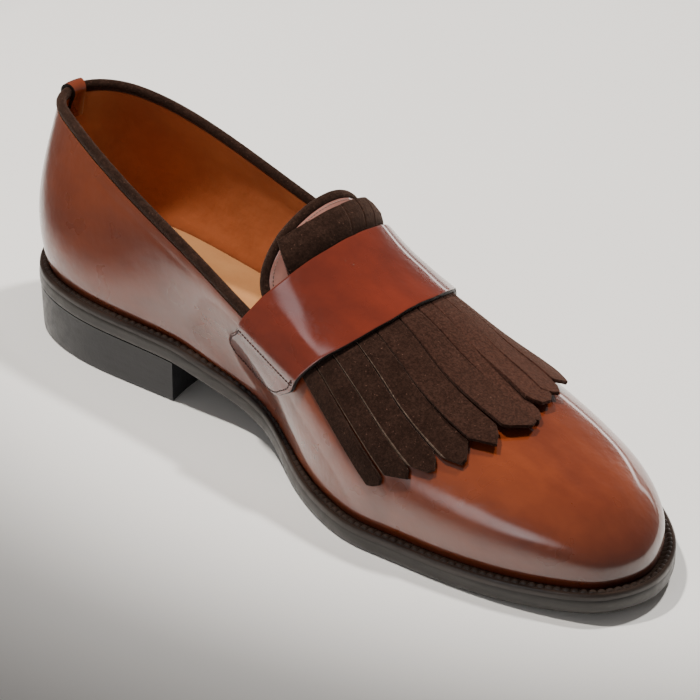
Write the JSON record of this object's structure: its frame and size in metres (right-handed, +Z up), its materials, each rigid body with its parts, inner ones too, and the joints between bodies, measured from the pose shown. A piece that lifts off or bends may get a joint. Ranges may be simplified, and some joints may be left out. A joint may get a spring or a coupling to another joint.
{
  "type": "kiltie loafer",
  "caption": "Left leather loafer with a broad instep strap, a fringed dark suede kiltie, suede-bound collar and tongue, welt and stacked heel.",
  "frame": {"origin": "on the floor under the middle of the shoe's bounding box", "axes": "+X toward the toe, +Y toward the outer (lateral) side, +Z up"},
  "size_m": [0.2998, 0.1024, 0.0904],
  "materials": {
    "upper_leather": "polished cognac brown calf",
    "tongue_leather": "glossy burgundy brown",
    "dark_suede": "dark brown suede nap",
    "welt_leather": "dark waxed edge",
    "sole_edge": "black edge dressing, satin",
    "insole_leather": "tan vegetable leather, matt"
  },
  "bodies": {
    "root": {"outsole": "sole_edge", "heel": "sole_edge", "welt": "welt_leather", "upper": "upper_leather", "insole": "insole_leather", "tongue": "tongue_leather", "tongue_binding": "dark_suede", "collar_binding": "dark_suede", "heel_tab": "upper_leather", "kiltie": "dark_suede", "saddle_strap": "upper_leather"}
  },
  "joints": []
}
